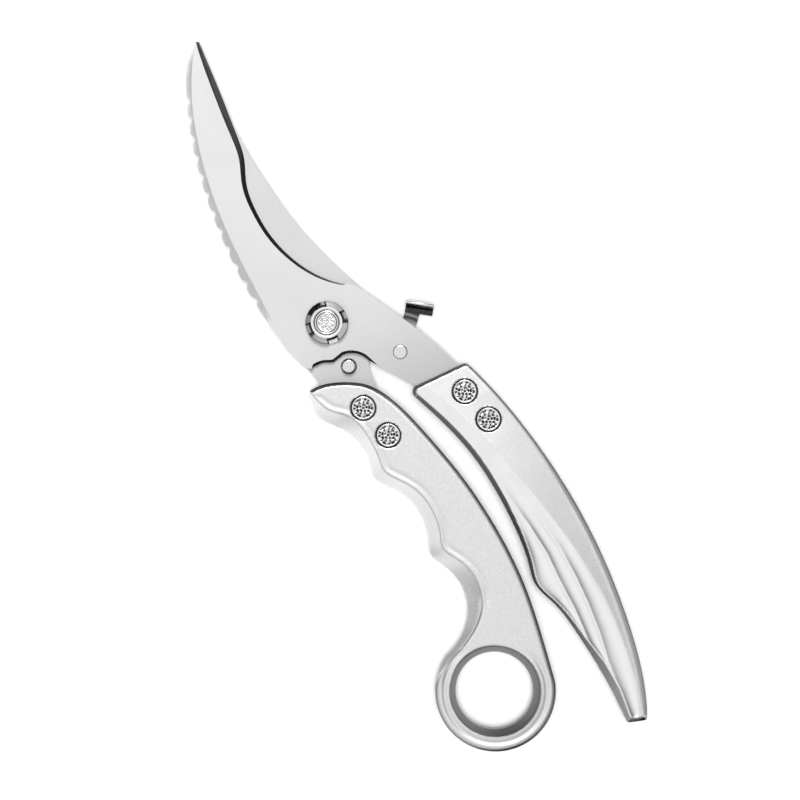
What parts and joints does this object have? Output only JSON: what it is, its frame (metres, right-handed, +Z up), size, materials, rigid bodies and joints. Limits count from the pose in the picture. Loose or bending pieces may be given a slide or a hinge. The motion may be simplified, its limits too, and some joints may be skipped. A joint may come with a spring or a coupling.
{
  "type": "poultry shears",
  "caption": "Sprung all-metal poultry shears with curved, toothed-spine blades, a grooved handle with a finger ring, a smooth palm handle and a lever lock.",
  "frame": {"origin": "on the blade pivot's axis, in the plane that the shears rest on, under the pivot bolt's head", "axes": "+X from the pivot towards the blade tips (the length), +Y towards the handle with the finger ring, +Z up out of the rest plane, along the pivot and the finger ring"},
  "size_m": [0.2618, 0.072, 0.012],
  "materials": {
    "blade_steel": "satin ground stainless steel",
    "handle_metal": "cast alloy, satin with a polished palm",
    "pivot_metal": "turned and polished steel",
    "spring_steel": "drawn spring wire and strip",
    "pin_steel": "turned stainless steel",
    "lock_steel": "stamped stainless sheet",
    "rivet_metal": "stamped rivet heads"
  },
  "bodies": {
    "ring_side": {"rear_blade": "blade_steel", "ring_handle": "handle_metal", "pivot_bolt": "pivot_metal", "pivot_nut": "pivot_metal", "pivot_washer": "pivot_metal", "torsion_spring": "spring_steel", "stop_pin": "pin_steel", "ring_rivet_front_socket": "rivet_metal", "ring_rivet_front_stud": "rivet_metal", "ring_rivet_rear_socket": "rivet_metal", "ring_rivet_rear_stud": "rivet_metal"},
    "palm_side": {"front_blade": "blade_steel", "palm_handle": "handle_metal", "lock_rivet": "blade_steel", "lock_spacer": "pin_steel", "lock_washer": "spring_steel", "palm_rivet_front_socket": "rivet_metal", "palm_rivet_front_stud": "rivet_metal", "palm_rivet_rear_socket": "rivet_metal", "palm_rivet_rear_stud": "rivet_metal"},
    "lock": {"lock_lever": "lock_steel"}
  },
  "joints": [
    {"name": "blade_pivot", "type": "hinge", "parent": "ring_side", "child": "palm_side", "pos_m": [0, 0, 0.006], "axis": [0, 0, 1], "range_deg": [0, 31], "stiffness_Nm_per_rad": 0.4, "springref_deg": 68.75, "deforming": ["torsion_spring"]},
    {"name": "lock_pivot", "type": "hinge", "parent": "palm_side", "child": "lock", "pos_m": [-0.02, -0.0158, 0.0022], "axis": [0, 0, 1], "range_deg": [0, 10]}
  ]
}
